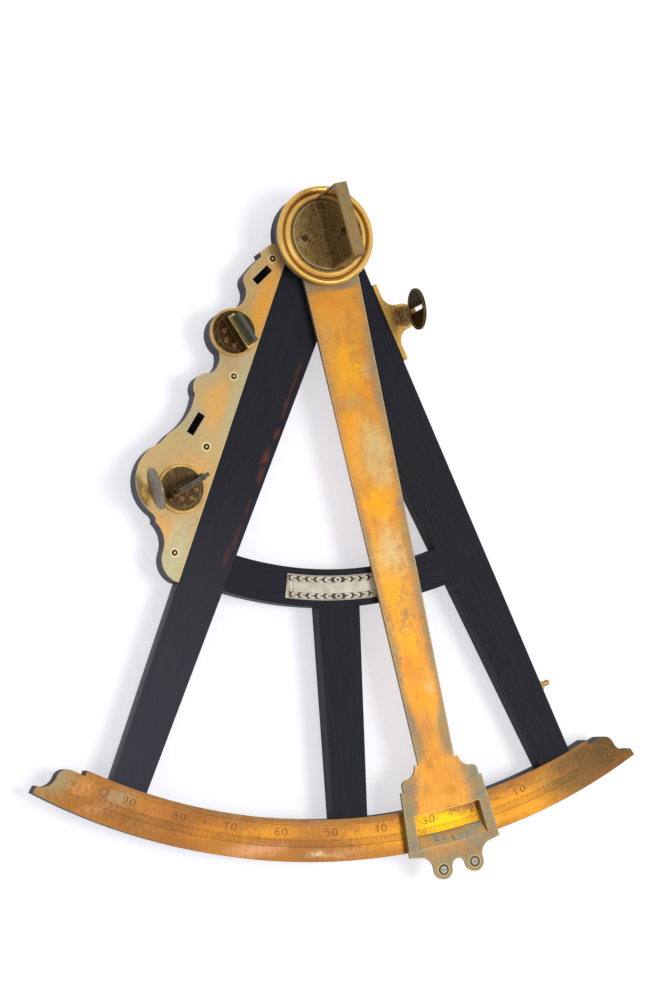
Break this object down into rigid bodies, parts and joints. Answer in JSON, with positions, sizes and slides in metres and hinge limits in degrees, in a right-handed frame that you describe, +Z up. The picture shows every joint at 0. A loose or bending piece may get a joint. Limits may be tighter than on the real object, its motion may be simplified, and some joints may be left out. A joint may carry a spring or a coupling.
{
  "type": "octant",
  "caption": "Wooden-framed octant lying on its back, with a swinging index arm and mirror, two adjustable horizon mirrors and two sights on pillars.",
  "frame": {"origin": "on the index pivot's axis, in the plane the feet stand on", "axes": "+Z up out of the instrument's face, +Y from the graduated limb to the pivot"},
  "size_m": [0.4214, 0.4667, 0.0822],
  "materials": {
    "ebony": "oiled, dark, worn brown at the edges",
    "bone": "polished bone",
    "aged_brass": "dull, patchy",
    "arm_brass": "patchy gold and grey-green",
    "brass_fittings": "satin",
    "polished_brass": "polished",
    "dull_brass": "dark olive tarnish",
    "steel_screws": "dull",
    "silvered_glass": "silvered",
    "half_silvered_glass": "lower half silvered"
  },
  "bodies": {
    "frame": {"left_leg": "ebony", "right_leg": "ebony", "limb_arc": "ebony", "scale_plate": "aged_brass", "crossbar": "ebony", "centre_post": "ebony", "plaque": "bone", "cheek_block": "ebony", "cheek_plate": "aged_brass", "cheek_rivets": "brass_fittings", "pivot_bush": "brass_fittings", "pivot_back_plate": "brass_fittings", "back_plate_screws": "steel_screws", "pivot_foot": "brass_fittings", "left_foot": "brass_fittings", "right_foot": "brass_fittings", "sight_bracket": "brass_fittings", "bracket_screws": "steel_screws", "fore_mirror_seat": "brass_fittings", "back_mirror_seat": "brass_fittings", "side_peg": "brass_fittings"},
    "index": {"index_arm": "arm_brass", "vernier_plate": "arm_brass", "arm_axle": "brass_fittings", "axle_washer": "brass_fittings", "axle_nut": "brass_fittings", "index_disc": "polished_brass", "mirror_base": "dull_brass", "mirror_frame": "dull_brass", "mirror_glass": "silvered_glass", "mirror_screws": "steel_screws", "ear_spacers": "brass_fittings", "keeper_plate": "brass_fittings", "keeper_screws": "steel_screws", "keeper_spring": "steel_screws"},
    "index_clamp": {"arm_clamp_screw": "brass_fittings"},
    "fore_mirror": {"fore_mirror_base": "dull_brass", "fore_mirror_holder": "dull_brass", "fore_mirror_glass": "half_silvered_glass", "fore_mirror_screws": "steel_screws", "fore_mirror_lever": "brass_fittings"},
    "back_mirror": {"back_mirror_base": "dull_brass", "back_mirror_holder": "dull_brass", "back_mirror_glass": "half_silvered_glass", "back_mirror_screws": "steel_screws", "back_mirror_lever": "brass_fittings"},
    "fore_clamp": {"fore_clamp_nut": "brass_fittings"},
    "back_clamp": {"back_clamp_nut": "brass_fittings"},
    "fore_sight": {"fore_sight_stem": "dull_brass", "fore_sight_disc": "dull_brass"},
    "back_sight": {"back_sight_stem": "dull_brass", "back_sight_disc": "dull_brass"}
  },
  "joints": [
    {"name": "index_swing", "type": "hinge", "parent": "frame", "child": "index", "pos_m": [0, 0, 0.028], "axis": [0, 0, 1], "range_deg": [-32.9, 14.3]},
    {"name": "index_clamp_turn", "type": "hinge", "parent": "index", "child": "index_clamp", "pos_m": [0.06847, -0.40059, 0.009], "axis": [0, 0, 1], "range_deg": [0, 180]},
    {"name": "fore_mirror_turn", "type": "hinge", "parent": "frame", "child": "fore_mirror", "pos_m": [-0.06459, -0.06451, 0.028], "axis": [0, 0, 1], "range_deg": [-10, 10]},
    {"name": "back_mirror_turn", "type": "hinge", "parent": "frame", "child": "back_mirror", "pos_m": [-0.10518, -0.16841, 0.028], "axis": [0, 0, 1], "range_deg": [-10, 10]},
    {"name": "fore_clamp_turn", "type": "hinge", "parent": "fore_mirror", "child": "fore_clamp", "pos_m": [-0.06459, -0.06451, 0.0075], "axis": [0, 0, 1], "range_deg": [0, 180]},
    {"name": "back_clamp_turn", "type": "hinge", "parent": "back_mirror", "child": "back_clamp", "pos_m": [-0.10518, -0.16841, 0.0075], "axis": [0, 0, 1], "range_deg": [0, 180]},
    {"name": "fore_sight_turn", "type": "hinge", "parent": "frame", "child": "fore_sight", "pos_m": [0.05726, -0.05216, 0.0272], "axis": [0, 0, 1], "range_deg": [-20, 20]},
    {"name": "back_sight_turn", "type": "hinge", "parent": "frame", "child": "back_sight", "pos_m": [-0.12734, -0.17006, 0.0275], "axis": [0, 0, 1], "range_deg": [-20, 20]}
  ]
}
